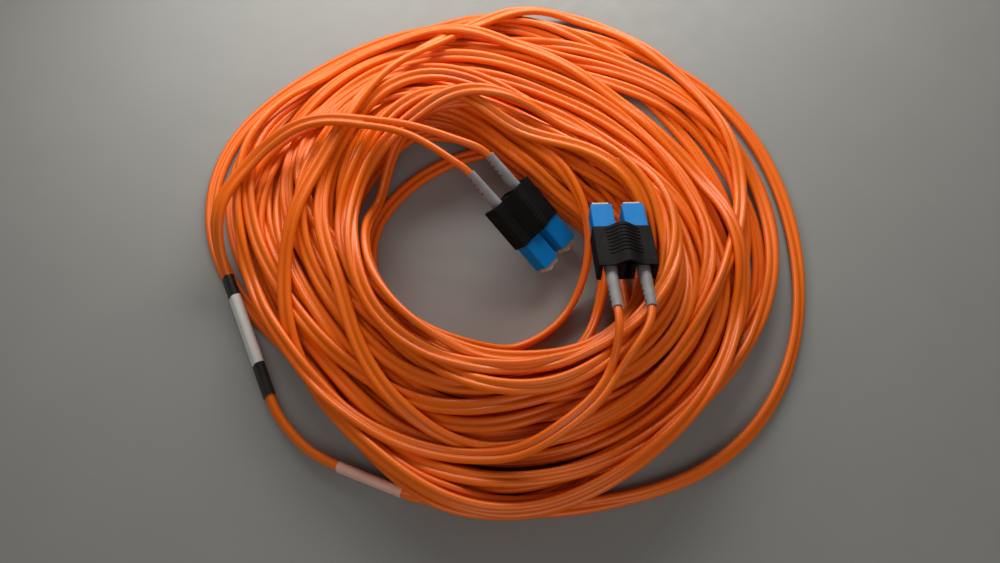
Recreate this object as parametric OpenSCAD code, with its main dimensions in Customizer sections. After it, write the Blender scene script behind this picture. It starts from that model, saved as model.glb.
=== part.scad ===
// Duplex fibre optic patch cord, coiled for storage, with a push-pull duplex plug at each end.
// The cord is zip cord: two round jackets side by side, each holding one fibre.
// Frame: +Z up, origin on the floor under the middle of the coil, +X and +Y along the floor.
// Each plug pair has its own frame: x across the pair, +y to the nose, +z to the arched side.

/* [Cord] */
// Diameter of one jacket
leg_d = 3; // [2.4:0.1:3.2]
// Diameter of the buffered fibre inside a jacket
buffer_d = 0.9; // [0.6:0.1:1.1]

/* [Coil] */
// Number of loops in the coil
loops = 24; // [12:1:24]
// Mean radius of the hole in the coil, to the innermost cord's centre
hole_r = 53; // [45:1:60]
// Mean radius to the outermost cord's centre
outer_r = 114; // [105:1:125]
// Clear height between one layer and the next at the rims of the pile
layer_gap = 1.2; // [1.2:0.1:2]
// What that height grows by at the crown of the pile
crown_gap = 2.2; // [0:0.1:2.4]

/* [Plug] */
// Distance between the two plugs of a pair
pitch = 12.7; // [12.4:0.1:14]
// Width of a housing
housing_w = 9; // [8:0.1:9.6]
// Height of a housing
housing_h = 7.4; // [7:0.1:9]
// Length of a housing
housing_l = 25; // [22:0.5:30]
// Width of the plug frame inside it
frame_w = 6.9; // [6.2:0.1:7.1]
// Height of the plug frame
frame_h = 5.6; // [5.4:0.1:5.8]
// How far the plug frame stands out of the housing
frame_out = 1.6; // [0.8:0.1:3]
// Diameter of the ferrule
ferrule_d = 2.5; // [2:0.05:3]
// How far the ferrule stands out of the plug frame
ferrule_out = 1; // [0.2:0.1:2]
// How far the ferrule can be pushed back against its spring
ferrule_travel = 1; // [0.4:0.1:1.2]
// How far housings and clip slide back to unlatch
release_travel = 1.5; // [1:0.1:1.8]
// Width of the key under each housing
key_w = 3; // [2:0.1:4]

/* [Clip] */
// Length of the duplex clip
clip_l = 20; // [16:0.5:24]
// Thickness of the clip's walls
clip_wall = 0.6; // [0.5:0.1:1.2]
// Height of the arch above the wings
arch_h = 2.7; // [1.5:0.1:4]
// Width of the arch
arch_w = 13; // [10:0.5:15]
// Number of grip ribs across the arch
rib_count = 8; // [0:1:9]

/* [Boot] */
// Diameter of the boot at the clip
boot_d = 5; // [4.4:0.1:5.4]
// Diameter of the boot at its tail
boot_tail_d = 3.9; // [3.8:0.1:4.4]
// Length of the boot behind the clip
boot_l = 17; // [12:0.5:22]
// Number of slots that let each side of the boot bend
boot_slots = 4; // [0:1:4]

/* [Marker sleeve and label] */
// Length of the white sleeve
sleeve_l = 31; // [20:1:36]
// Length of the upper shrink tube
shrink_upper_l = 9.5; // [6:0.5:12]
// Wall of the sleeve and shrink tubes
sleeve_wall = 0.45; // [0.3:0.05:0.8]
// Length of the wrapped label
label_l = 27; // [15:1:28]
// Thickness of the wrapped label
label_t = 0.15; // [0.1:0.05:0.3]

/* [Hidden] */
$fn = 48;
fit_gap = 0.1;          // between pieces that stay still on each other
slide_gap = 0.15;       // between pieces that slide on each other
touch = 0.02;           // between a pressed pair's round walls
edge_r = 0.5;           // rounding of long moulded edges
nose_r = 1.2;           // rounding of a housing's front corners
arch_steps = 16;        // straight steps along the arch
cord_w = 2 * leg_d;     // the zip cord is two jackets wide

// Stations along a plug pair's y, with the clip's middle at 0
clip_front = clip_l / 2;
clip_rear = -clip_l / 2;
seat_y = clip_front - 12;                 // where the housings' tails rest in the clip
housing_rear = seat_y + fit_gap;
housing_front = housing_rear + housing_l;
frame_rear = housing_rear + 2;
frame_front = housing_front + frame_out;
ferrule_tip = frame_front + ferrule_out;
mouth_depth = 7;                          // depth of the round mouth around the ferrule
mouth_wall = 1.4;                         // web behind the mouth that stops the flange
flange_front = frame_front - mouth_depth - mouth_wall - fit_gap;
flange_l = 2.7;
flange_rear = flange_front - flange_l;
spring_l = 6;
stop_front = flange_rear - fit_gap - spring_l - fit_gap;
stop_collar = 2.5;                        // thickness of the stop ring's collar
stop_rear = frame_rear - stop_collar - 6;
crimp_front = frame_rear - stop_collar - fit_gap;
crimp_rear = stop_rear - 2.2;
boot_front = crimp_front - 0.5;
boot_rear = clip_rear - boot_l;
jacket_front = crimp_rear - 0.2;

// Radii
ferrule_r = ferrule_d / 2;
leg_r = leg_d / 2;
mouth_r = frame_h / 2 - 0.45;
flange_r = mouth_r - 0.2;
stop_r = mouth_r - fit_gap;
stop_bore_r = buffer_d / 2 + 0.65;
stem_r = stop_bore_r + 0.6;
crimp_r = stem_r + 0.45;
boot_tail_r = boot_tail_d / 2;
boot_slot_l = 0.8;
boot_slot_h = 1.8;
boot_slot_pitch = 2.4;
collar_r = boot_d / 2 + 0.35;

// Clip section
wing_z = housing_h / 2 + clip_wall + fit_gap;
clip_w = pitch + housing_w + 2 * (clip_wall + fit_gap);
lip_w = 1.2;                              // the lips that hold a housing from below
arch_wall = 0.9;
rib_h = 0.3;
rib_root = 0.2;                           // how deep a rib is sunk in the arch
rib_l = 0.8;
rib_pitch = 1.8;

// Where the two plug pairs lie: position of the clip's middle and yaw, pitch, roll.
// Pair a leans on its nose, a little over the floor; pair b lies on the coil.
turn_a = [-133, -28, -11];
nose_gap = 1.12;
function tilted(p, turn) = turn_x(turn_y(p, turn[2]), turn[1]);
nose_low = min([for (x = [-1, 1], z = [-1, 1])
    tilted([x * (pitch + housing_w) / 2, housing_front, z * housing_h / 2], turn_a).z]);
pair_a = [[5, 9.5, nose_gap - nose_low], turn_a];
pair_b = [[44, -16, 34], [3, -18, 2]];

// Middle of the hole in the coil and the bearing where the coil starts
coil_mid = [-14, 0.5];
start_bearing = -92;
tail_share = 0.68;                        // how far out the top layer ends
rings_per_loop = 24;

// Route of the zip cord from the coil to plug pair a: x, y, z and roll about the cord
sleeve_low = [-96, -65.5, 3.8];
sleeve_high = [-118, -15.5, 7];
sleeve_roll = 60;
label_low = [-41, -103, 3.5];
label_high = [-67, -93, 3.5];
label_roll = 80;
route_a = [
    [-33, -105.5, 2.9, 45], [-37, -104.5, 3.2, 70],
    [-41, -103, 3.5, 80], [-67, -93, 3.5, 80],
    [-78, -86, 3.5, 75], [-87, -77, 3.6, 68], [-93.5, -69.5, 3.7, 62],
    [-96, -65.5, 3.8, 60], [-118, -15.5, 7, 60],
    [-120.5, -8, 9.5, 50], [-121, -1, 13, 30], [-120.5, 6, 16, 15], [-118.5, 13, 18.5, 5],
    [-114, 22, 21.5, 0], [-106, 32, 24.5, 0], [-97, 39, 26.8, 0],
    [-88, 44, 27.8, 0], [-79, 47.5, 28.2, 0], [-73, 49, 28.2, 0], [-70, 49.5, 28.2, 0]
];
// Route of the zip cord from the coil to plug pair b
route_b = [
    [-4, -92.3, 19.6, 0], [3, -91.6, 22, 0], [9.5, -89.3, 24.4, 0],
    [15, -86.2, 26.2, 0], [20, -83, 27.5, 0], [25, -79.5, 29, 0], [29.5, -75.7, 31.2, 0],
    [33, -71.8, 33.8, 0], [35.5, -68, 36.6, 0], [36.8, -65.5, 38.3, 0]
];
// Routes of the single legs from where the zip cord divides to the boots
route_a1 = [[-64, 48, 29.5, 0], [-57, 47.5, 31.5, 0], [-50, 45.5, 33.5, 0], [-43, 42, 35.2, 0],
            [-36, 37.5, 36.3, 0], [-29, 31.8, 35.8, 0], [-23.5, 26.8, 34.2, 0]];
route_a2 = [[-64, 51, 29.5, 0], [-57, 51, 31, 0], [-50, 50, 32.5, 0], [-43, 47.8, 33.7, 0],
            [-36, 45, 34.3, 0], [-29, 41.8, 34, 0], [-21.5, 37.8, 32.8, 0], [-15.5, 34.5, 31.3, 0]];
route_b1 = [[37.8, -58, 42.3, 0], [38.8, -53, 43.9, 0], [39.3, -48.5, 44.3, 0]];
route_b2 = [[42.5, -60, 41.8, 0], [46, -55.5, 43.2, 0], [49.3, -50.5, 43.9, 0]];

PLUGS = ["a1", "a2", "b1", "b2"];

JACKET = [0.95, 0.42, 0.14];
HOUSING = [0.13, 0.52, 0.80];
CLIP = [0.09, 0.09, 0.10];
BOOT = [0.53, 0.53, 0.56];
BEIGE = [0.78, 0.70, 0.58];
CERAMIC = [0.93, 0.92, 0.88];
METAL = [0.72, 0.73, 0.75];

// ---- Turning and placing points ----
function turn_x(p, a) = [p.x, p.y * cos(a) - p.z * sin(a), p.y * sin(a) + p.z * cos(a)];
function turn_y(p, a) = [p.x * cos(a) + p.z * sin(a), p.y, p.z * cos(a) - p.x * sin(a)];
function turn_z(p, a) = [p.x * cos(a) - p.y * sin(a), p.x * sin(a) + p.y * cos(a), p.z];
function in_pair(pair, p) =
    pair[0] + turn_z(tilted(p, pair[1]), pair[1][0]);
function pair_of(plug) = plug[0] == "a" ? pair_a : pair_b;
// a1 and b2 lie on the +x side of their pair
function side_of(plug) = plug == "a1" || plug == "b2" ? pitch / 2 : -pitch / 2;

module at_pair(pair)
    translate(pair[0])
        rotate([0, 0, pair[1][0]])
            rotate([pair[1][1], 0, 0])
                rotate([0, pair[1][2], 0])
                    children();

// A plug's own frame, with y = 0 at the clip's middle
module at_plug(plug)
    at_pair(pair_of(plug))
        translate([side_of(plug), 0, 0])
            children();

// Solid and hollow rounds along y, from y0 to y1
module rod_y(y0, y1, r)
    translate([0, y0, 0])
        rotate([-90, 0, 0])
            cylinder(h = y1 - y0, r = r);
module cone_y(y0, y1, r0, r1)
    translate([0, y0, 0])
        rotate([-90, 0, 0])
            cylinder(h = y1 - y0, r1 = r0, r2 = r1);

// A bar along y with a rounded rectangular section
module bar_y(y0, y1, w, h, r)
    translate([0, y1, 0])
        rotate([90, 0, 0])
            linear_extrude(y1 - y0)
                rounded(w, h, r);
module rounded(w, h, r) {
    square([w - 2 * r, h], center = true);
    square([w, h - 2 * r], center = true);
    for (x = [-1, 1], y = [-1, 1])
        translate([x * (w / 2 - r), y * (h / 2 - r)])
            circle(r);
}
// Two half rounds joined by straights, the section of a wrapped zip cord, long along y
module oval(w, h) {
    square([h, w - h], center = true);
    for (s = [-1, 1])
        translate([0, s * (w - h) / 2])
            circle(h / 2);
}

// ---- Swept cords ----
// Sections are lists of [side, up] points that run anticlockwise
SECTION_LEG = [for (a = [0:45:315]) leg_r * [cos(a), sin(a)]];
SECTION_ZIP = [for (s = [1, -1], a = [-90:45:90]) s * [leg_r + leg_r * cos(a), leg_r * sin(a)]];
SECTION_COIL = leg_r * [[2, 0], [1, 1], [-1, 1], [-2, 0], [-1, -1], [1, -1]];

function unit(v) = v / norm(v);
function point3(p) = [p.x, p.y, p.z];
function heading(path, i) =
    unit(point3(path[min(i + 1, len(path) - 1)]) - point3(path[max(i - 1, 0)]));
function side_dir(t) = unit(cross(t, [0, 0, 1]));
function ring(p, t, roll, section) =
    let (s = side_dir(t), u = cross(s, t))
    [for (q = section)
        p + s * (q.x * cos(roll) - q.y * sin(roll)) + u * (q.x * sin(roll) + q.y * cos(roll))];

// A closed tube through the points of path, each [x, y, z, roll]
module swept(path, section) {
    n = len(section);
    last = (len(path) - 1) * n;
    polyhedron(
        points = [for (i = [0:len(path) - 1])
            each ring(point3(path[i]), heading(path, i), path[i][3], section)],
        faces = concat(
            [for (i = [0:len(path) - 2], k = [0:n - 1])
                [i * n + k, i * n + (k + 1) % n, (i + 1) * n + (k + 1) % n]],
            [for (i = [0:len(path) - 2], k = [0:n - 1])
                [i * n + k, (i + 1) * n + (k + 1) % n, (i + 1) * n + k]],
            [for (k = [1:n - 2]) [0, k + 1, k]],
            [for (k = [1:n - 2]) [last, last + k, last + k + 1]]));
}

// ---- The coil ----
// The loops lie in four layers. The cord spirals in, climbs, spirals out, and so on.
climb = 0.5;                              // each climb takes half a loop
layer_loops = (loops - 3 * climb) / (3 + tail_share);
layer_span = layer_loops + climb;
function hole_at(b) = hole_r - 2 * cos(2 * b) - 3 * sin(2 * b);
function outer_at(b) =
    outer_r + 18 * cos(b) + 4 * sin(b) + 4 * cos(2 * b) - 5 * sin(2 * b)
    - cos(3 * b) + 2 * sin(3 * b);
function coil_layer(n) = min(3, floor(n / layer_span));
function coil_out(n) =
    let (k = coil_layer(n), m = min(1, (n - k * layer_span) / layer_loops))
    k % 2 == 0 ? 1 - m : m;
function coil_level(n) =
    let (k = coil_layer(n), m = n - k * layer_span - layer_loops)
    k + max(0, m / climb);
function coil_point(n) =
    let (b = start_bearing + 360 * n, out = coil_out(n),
         r = hole_at(b) + (outer_at(b) - hole_at(b)) * out,
         step = leg_d + layer_gap + crown_gap * pow(sin(180 * out), 2))
    [coil_mid.x + r * cos(b), coil_mid.y + r * sin(b), leg_r + coil_level(n) * step, 0];
coil_path = [for (i = [0:loops * rings_per_loop]) coil_point(i / rings_per_loop)];
function level(v) = unit([v.x, v.y, 0]);
coil_start = point3(coil_path[0])
    - cord_w * level(point3(coil_path[1]) - point3(coil_path[0]));
coil_end = point3(coil_path[len(coil_path) - 1])
    + cord_w * level(point3(coil_path[len(coil_path) - 1]) - point3(coil_path[len(coil_path) - 2]));
full_coil = concat([[each coil_start, 0]], coil_path, [[each coil_end, 0]]);

// Least gap between loops, from the distances between rings on one bearing
function loop_gap(p, q) =
    let (d = norm([p.x - q.x, p.y - q.y]), z = abs(p.z - q.z))
    max(z - leg_d, (d + z - cord_w) / sqrt(2));
echo(least_gap_in_coil = min([for (i = [0:len(coil_path) - 1], j = [i + rings_per_loop:
    rings_per_loop:len(coil_path) - 1]) loop_gap(coil_path[j], coil_path[i])]));

module coil_loops()
    color(JACKET)
        swept(full_coil, SECTION_COIL);

// ---- The free stretches ----
// The first run is straight, square to the coil's end
function past(p, dir, d) = [each (p + d * dir), 0];
coil_start_dir = level(coil_start - point3(coil_path[0]));
coil_end_dir = level(coil_end - point3(coil_path[len(coil_path) - 1]));
path_a = concat([[each coil_start, 0], past(coil_start, coil_start_dir, leg_d)], route_a);
path_b = concat([[each coil_end, 0], past(coil_end, coil_end_dir, leg_d)], route_b);

module lead_a() color(JACKET) swept(path_a, SECTION_ZIP);
module lead_b() color(JACKET) swept(path_b, SECTION_ZIP);

// Where a zip cord divides, each leg goes on straight for one diameter
leg_spread = 0.1;
function divide(path, s, d) =
    let (e = len(path) - 1, p = point3(path[e]), t = unit(p - point3(path[e - 1])))
    [each (p + t * d + s * (leg_r + leg_spread) * side_dir(t)), 0];
// In the boot the leg runs straight, from the crimp to one diameter behind the boot's tail
function leg_path(plug, zip, s, route) =
    let (pair = pair_of(plug), x = side_of(plug))
    concat([divide(zip, s, 0), divide(zip, s, leg_d)], route,
           [for (y = [boot_rear - leg_d, boot_rear, jacket_front]) [each in_pair(pair, [x, y, 0]), 0]]);

module leg_a1() color(JACKET) swept(leg_path("a1", path_a, 1, route_a1), SECTION_LEG);
module leg_a2() color(JACKET) swept(leg_path("a2", path_a, -1, route_a2), SECTION_LEG);
module leg_b1() color(JACKET) swept(leg_path("b1", path_b, -1, route_b1), SECTION_LEG);
module leg_b2() color(JACKET) swept(leg_path("b2", path_b, 1, route_b2), SECTION_LEG);

// ---- Marker sleeve and label on lead a ----
// A thin oval tube round the cord, from d0 to d1 along the line from p to q
module wrap(p, q, roll, d0, d1, wall) {
    t = unit(q - p);
    bore = 2 * fit_gap;
    translate(p + t * d0)
        rotate([0, acos(t.z), atan2(t.y, t.x)])
            rotate([0, 0, -roll])
                linear_extrude(d1 - d0)
                    difference() {
                        oval(cord_w + bore + 2 * wall, leg_d + bore + 2 * wall);
                        oval(cord_w + bore, leg_d + bore);
                    }
}
sleeve_run = norm(sleeve_high - sleeve_low);
sleeve_end = sleeve_run - shrink_upper_l;
sleeve_start = sleeve_end - sleeve_l;
module shrink_upper()
    color(CLIP)
        wrap(sleeve_low, sleeve_high, sleeve_roll, sleeve_end, sleeve_run, sleeve_wall);
module marker_sleeve()
    color([0.78, 0.76, 0.73])
        wrap(sleeve_low, sleeve_high, sleeve_roll, sleeve_start, sleeve_end, sleeve_wall);
module shrink_lower()
    color(CLIP)
        wrap(sleeve_low, sleeve_high, sleeve_roll, 0, sleeve_start, sleeve_wall);
label_run = norm(label_high - label_low);
module label_wrap()
    color([0.82, 0.60, 0.55])
        wrap(label_low, label_high, label_roll,
             (label_run - label_l) / 2, (label_run + label_l) / 2, label_t);

// ---- Duplex clip ----
// Height of the arch above the wings at x
function arch_z(x, half) = abs(x) < half ? arch_h * (1 + cos(180 * x / half)) / 2 : 0;
// The arch's outline from its left foot to its right foot, lifted by up
function arch_line(half, up) =
    [for (i = [0:arch_steps])
        let (x = half * (2 * i / arch_steps - 1)) [x, wing_z + arch_z(x, half) + up]];
module clip_outline() {
    rounded(clip_w, 2 * wing_z, edge_r);
    polygon(concat([[-arch_w / 2, 0]], arch_line(arch_w / 2, 0), [[arch_w / 2, 0]]));
}
web_x = pitch / 2 - housing_w / 2 - fit_gap - 0.5;     // half width of the hollow under the arch
// The hollow between the webs, which widens under the arch above the housings' roof
module clip_hollow()
    polygon(concat([[-web_x, clip_wall - wing_z], [-web_x, wing_z]],
                   [for (p = arch_line(arch_w / 2, -arch_wall)) if (p.y > wing_z) p],
                   [[web_x, wing_z], [web_x, clip_wall - wing_z]]));
module clip(pair)
    color(CLIP)
        at_pair(pair) {
            difference() {
                translate([0, clip_front, 0])
                    rotate([90, 0, 0])
                        linear_extrude(clip_l)
                            clip_outline();
                translate([0, clip_front + 1, 0])
                    rotate([90, 0, 0])
                        linear_extrude(clip_l + 2)
                            clip_hollow();
                for (s = [-1, 1])
                    translate([s * pitch / 2, 0, 0]) {
                        // the housing's seat, the passage for the boot and the snap-in slot below
                        seat_w = housing_w + 2 * fit_gap;
                        seat_h = housing_h + 2 * fit_gap;
                        bar_y(seat_y, clip_front + 1, seat_w, seat_h, edge_r);
                        bar_y(clip_rear - 1, seat_y + 1, seat_w - 2 * lip_w, seat_h, edge_r);
                        translate([-seat_w / 2 + lip_w, clip_rear - 1, -wing_z - 1])
                            cube([seat_w - 2 * lip_w, clip_l + 2, wing_z]);
                    }
            }
            for (i = [0:1:rib_count - 1])
                grip_rib(clip_front - 1 - rib_l - i * rib_pitch);
        }
module grip_rib(y)
    translate([0, y + rib_l, 0])
        rotate([90, 0, 0])
            linear_extrude(rib_l)
                polygon(concat(arch_line(arch_w / 2, rib_h),
                               [for (i = [arch_steps:-1:0]) arch_line(arch_w / 2, -rib_root)[i]]));
module clip_a() clip(pair_a);
module clip_b() clip(pair_b);

// ---- Pieces of one plug ----
key_h = 0.8;
key_l = 4;
module housing(plug)
    color(HOUSING)
        at_plug(plug)
            difference() {
                union() {
                    intersection() {
                        bar_y(housing_rear, housing_front, housing_w, housing_h, edge_r);
                        nose_block();
                    }
                    translate([-key_w / 2, housing_front - key_l - 1, -housing_h / 2 - key_h])
                        cube([key_w, key_l, key_h + 0.3]);
                }
                bar_y(housing_rear - 1, housing_front + 1,
                      frame_w + 2 * slide_gap, frame_h + 2 * slide_gap, 0.3);
            }
// A block with rounded front corners, seen from above
module nose_block()
    translate([0, 0, -housing_h])
        linear_extrude(2 * housing_h) {
            translate([-housing_w / 2, housing_rear])
                square([housing_w, housing_l - nose_r]);
            translate([-housing_w / 2 + nose_r, housing_rear])
                square([housing_w - 2 * nose_r, housing_l]);
            for (s = [-1, 1])
                translate([s * (housing_w / 2 - nose_r), housing_front - nose_r])
                    circle(nose_r);
        }

module plug_frame(plug)
    color(BEIGE)
        at_plug(plug)
            difference() {
                bar_y(frame_rear, frame_front, frame_w, frame_h, 0.3);
                rod_y(frame_front - mouth_depth, frame_front + 1, mouth_r);
                rod_y(flange_rear, frame_front, ferrule_r + slide_gap);
                rod_y(frame_rear - 1, flange_front + fit_gap, mouth_r);
            }

tip_bevel = 0.25;
ferrule_rear = flange_front - 1.4;
ferrule_step = frame_front - mouth_depth + fit_gap;   // behind it lies the ferrule's thinner seat
ferrule_seat_r = ferrule_r - 0.3;
module ferrule(plug)
    color(CERAMIC)
        at_plug(plug) {
            rod_y(ferrule_rear, ferrule_step, ferrule_seat_r);
            rod_y(ferrule_step, ferrule_tip - tip_bevel, ferrule_r);
            cone_y(ferrule_tip - tip_bevel, ferrule_tip, ferrule_r, ferrule_r - tip_bevel);
        }

module ferrule_flange(plug)
    color(METAL)
        at_plug(plug)
            difference() {
                rod_y(flange_rear, flange_front, flange_r);
                rod_y(ferrule_rear, flange_front + 1, ferrule_seat_r + touch);
                rod_y(flange_rear - 1, flange_front, buffer_d / 2 + slide_gap);
            }

spring_wire = 0.5;
module spring(plug)
    color(METAL)
        at_plug(plug)
            difference() {
                rod_y(stop_front + fit_gap, flange_rear - fit_gap, flange_r - 0.1);
                rod_y(stop_front, flange_rear, flange_r - 0.1 - spring_wire);
            }

module stop_ring(plug)
    color(METAL)
        at_plug(plug)
            difference() {
                union() {
                    rod_y(frame_rear - 1, stop_front, stop_r);
                    rod_y(frame_rear - stop_collar, frame_rear - fit_gap, frame_h / 2);
                    rod_y(stop_rear, frame_rear - 1, stem_r);
                }
                rod_y(stop_rear - 1, stop_front + 1, stop_bore_r);
            }

module crimp_sleeve(plug)
    color(METAL)
        at_plug(plug)
            difference() {
                rod_y(crimp_rear, crimp_front, crimp_r);
                rod_y(crimp_rear - 1, crimp_front + 1, stem_r + touch);
            }

module boot(plug)
    color(BOOT)
        at_plug(plug)
            difference() {
                union() {
                    cone_y(boot_rear, clip_rear + 1, boot_tail_r, boot_d / 2);
                    rod_y(clip_rear + 1, boot_front, boot_d / 2);
                    rod_y(boot_front - 2, boot_front, collar_r);
                }
                rod_y(crimp_rear - fit_gap, boot_front + 1, crimp_r + touch);
                rod_y(boot_rear - 1, boot_front, leg_r + fit_gap);
                for (i = [0:1:boot_slots - 1])
                    translate([0, boot_rear + 2 + i * boot_slot_pitch, 0])
                        bar_y(0, boot_slot_l, boot_d + 2, boot_slot_h, 0.3);
            }

fibre_front = flange_rear + 0.2;
module buffered_fibre(plug)
    color([0.92, 0.9, 0.82])
        at_plug(plug)
            rod_y(jacket_front, fibre_front, buffer_d / 2);

coil_loops();
lead_a();
lead_b();
leg_a1();
leg_a2();
leg_b1();
leg_b2();
shrink_upper();
marker_sleeve();
shrink_lower();
label_wrap();
clip_a();
clip_b();
for (plug = PLUGS) {
    housing(plug);
    plug_frame(plug);
    ferrule(plug);
    ferrule_flange(plug);
    spring(plug);
    stop_ring(plug);
    crimp_sleeve(plug);
    boot(plug);
    buffered_fibre(plug);
}
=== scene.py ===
# %% [markdown]
# # A coiled duplex patch cord
#
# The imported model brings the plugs, clips, boots and the plain cord solids, each in its
# place. This lesson turns the plain coil into the real wound cord, and gives every piece
# its plastic, ceramic or metal. All sizes are millimetres times MM, in the model's frame.

# %% Load the fixed frame
import math

import bpy
import numpy as np
from mathutils import Matrix, Vector


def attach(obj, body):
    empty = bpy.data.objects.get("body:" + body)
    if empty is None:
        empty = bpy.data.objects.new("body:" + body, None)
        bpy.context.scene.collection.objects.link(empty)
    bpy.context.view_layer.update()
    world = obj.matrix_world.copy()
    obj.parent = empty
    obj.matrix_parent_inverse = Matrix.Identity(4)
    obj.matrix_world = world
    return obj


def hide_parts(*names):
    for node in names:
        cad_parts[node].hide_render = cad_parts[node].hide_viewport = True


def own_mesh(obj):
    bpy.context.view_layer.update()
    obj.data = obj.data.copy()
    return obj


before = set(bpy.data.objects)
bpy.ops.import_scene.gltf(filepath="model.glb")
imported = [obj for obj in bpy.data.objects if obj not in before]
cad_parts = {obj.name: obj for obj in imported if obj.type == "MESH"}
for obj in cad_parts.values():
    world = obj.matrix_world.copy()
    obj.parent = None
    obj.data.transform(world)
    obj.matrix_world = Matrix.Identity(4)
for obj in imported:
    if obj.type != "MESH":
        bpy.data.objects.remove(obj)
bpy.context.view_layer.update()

MM = 0.001

# %% [markdown]
# ## The camera
# The coil is looked at from above, leaning 22 degrees back from straight down, from about
# a forearm's length. A camera that near makes the close side of the coil a little larger,
# so its lens is set before anything is modelled.

# %% Place the camera
camera_data = bpy.data.cameras.new("coil_camera")
camera_data.sensor_width = 36
camera_data.lens = 28.8
camera_data.clip_start = 0.01
coil_camera = bpy.data.objects.new("coil_camera", camera_data)
bpy.context.scene.collection.objects.link(coil_camera)
coil_camera.location = (-4 * MM, -142.6 * MM, 317.1 * MM)
coil_camera.rotation_euler = (math.radians(22), 0, 0)
bpy.context.scene.camera = coil_camera
bpy.context.scene.view_settings.view_transform = "Standard"
print("camera at", [round(v, 4) for v in coil_camera.location])

# %% [markdown]
# ## The cord's facts
# A zip cord is two 3 mm jackets joined along one side, so it is 6 mm wide and 3 mm thick.
# It bends easily round its thin way, rests leg by leg on what lies below, and keeps a
# round of roughly a hand's span where it was coiled.

# %% Sizes of the cord and the coil's outline
LEG_R = 1.5
LEG_D = 2 * LEG_R
COIL_MID = np.array((-14.0, 2.5))
FULL_TURNS = 44
# Edge of the hole and rim of the pile, as bearing in degrees and radius in mm
HOLE = [(0, 59), (8, 52), (15, 45), (22, 41), (30, 38.5), (45, 37), (60, 37), (72, 38.5),
        (85, 43.5), (97, 54), (108, 59), (118, 60), (142, 56), (155, 54.5), (168, 53),
        (182, 52), (196, 50.5), (210, 50), (222, 50), (237, 52), (250, 54), (263, 56),
        (281, 60), (296, 66.5), (305, 71), (313, 73.5), (330, 74), (345, 71), (360, 59)]
RIM = [(0, 130.5), (15, 131), (22, 130.5), (31, 128), (37, 126.5), (45, 124.5), (53, 123),
       (62, 121.5), (71, 120.5), (83, 119.5), (92, 117.5), (115, 112.5), (139, 115), (150, 119),
       (157, 121), (166, 117), (174, 112), (182, 107), (188, 101), (197, 94), (210, 89),
       (222, 87), (235, 91.5), (247, 101.5), (261, 109), (279, 114.5), (294, 115.5),
       (305, 112.5), (315, 112), (324, 114), (334, 118.5), (344, 123), (353, 127.5),
       (360, 130.5)]


def inner_edge(b):
    """Radius of the innermost cord of the pile round the hole at bearing b."""
    return np.interp(np.degrees(b) % 360, *np.transpose(HOLE))


def outer_edge(b):
    """Radius of the outermost cord of the pile at bearing b."""
    return np.interp(np.degrees(b) % 360, *np.transpose(RIM))


print("hole about", round(2 * float(np.mean(inner_edge(np.linspace(0, 6.28, 60)))), 0), "mm across")

# %% [markdown]
# ## Where the cord wanders
# A hand-wound coil isn't a spiral: each turn is thrown down near the last one and drifts
# between the hole and the rim. A slow swing plus a smooth noise gives that drift, and a
# few turns that lie free on the pile or on the floor are then bent onto set bearings
# and radii. The noise is seeded, so that the coil is the same every time.

# %% A smooth noise along the cord
def smooth_noise(x, span, rng):
    """Seeded noise of about unit size whose values hold together over span."""
    knots = rng.normal(size=int(x[-1] / span) + 5)
    i = np.floor(x / span).astype(int)
    f = x / span - i
    p0, p1, p2, p3 = knots[i], knots[i + 1], knots[i + 2], knots[i + 3]
    return 1.5 * ((1 - f) ** 3 * p0 + (3 * f ** 3 - 6 * f ** 2 + 4) * p1
                  + (-3 * f ** 3 + 3 * f ** 2 + 3 * f + 1) * p2 + f ** 3 * p3) / 6


def bell_window(width):
    """A bell-shaped window, three widths to each side, that sums to 1."""
    x = np.arange(-3 * width, 3 * width + 1)
    bell = np.exp(-x ** 2 / (2 * width * width))
    return bell / bell.sum()


def soften(values, width):
    """A running mean with a bell-shaped window of that many steps."""
    ends = np.concatenate([np.full(3 * width, values[0]), values, np.full(3 * width, values[-1])])
    return np.convolve(ends, bell_window(width), mode="valid")


# %% Turns that lie in set places, as bearing in degrees and radius in mm
FIRST_TURN = [(-95, 106), (-81, 114), (-66, 118), (-57, 124.3), (-49, 131.6), (-42, 135.5),
              (-33, 138.4), (-28, 139), (-20, 139.2), (-8, 137.7), (10, 137), (24, 136.5),
              (31, 135.3), (38, 132.7), (45, 129.3), (54, 125), (62, 122)]
LEFT_TURN = [(90, 115), (102, 116.5), (115, 116.5), (129, 116.5), (139, 118.5), (147, 122),
             (157, 124), (166, 122), (174, 118), (181, 113.5), (188, 108), (196, 100),
             (203, 95), (209, 91.5), (214, 88.5), (222, 87.5), (230, 88.5), (238, 92),
             (244, 98), (252, 104), (261, 109.5), (269, 113), (279, 115.5)]
INNER_TURN = [(-140, 48), (-117, 50), (-102, 50.8), (-83, 50.6), (-68, 50.4), (-54, 50.9),
              (-40, 49.8), (-22, 48.5), (-4, 47.1), (11, 46), (24, 45), (42, 44.6), (56, 44.6),
              (70, 46), (82, 50), (92, 55), (103, 61), (114, 67)]
CORNER_CHORD = [(70, 48), (80, 46), (91, 44.5), (101, 43), (111, 41.5), (121, 41), (132, 41),
                (144, 41.5), (158, 43), (171, 45), (183, 46), (198, 47), (214, 50), (230, 53)]
TOP_RIGHT = [(2, 54), (11, 46.5), (20, 41), (31, 38.5), (45, 37), (60, 37), (73, 39), (85, 44),
             (97, 51.5), (110, 59)]
EDGE_TURN = [(110, 56), (123, 51.5), (135, 49), (148, 46.3), (163, 44.7), (177, 44.7),
             (192, 45), (208, 46), (221, 47.2), (237, 49.5), (250, 51.8), (263, 54.5),
             (281, 59), (296, 65.5), (305, 70), (315, 72.5), (330, 73), (345, 70.5)]
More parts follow.
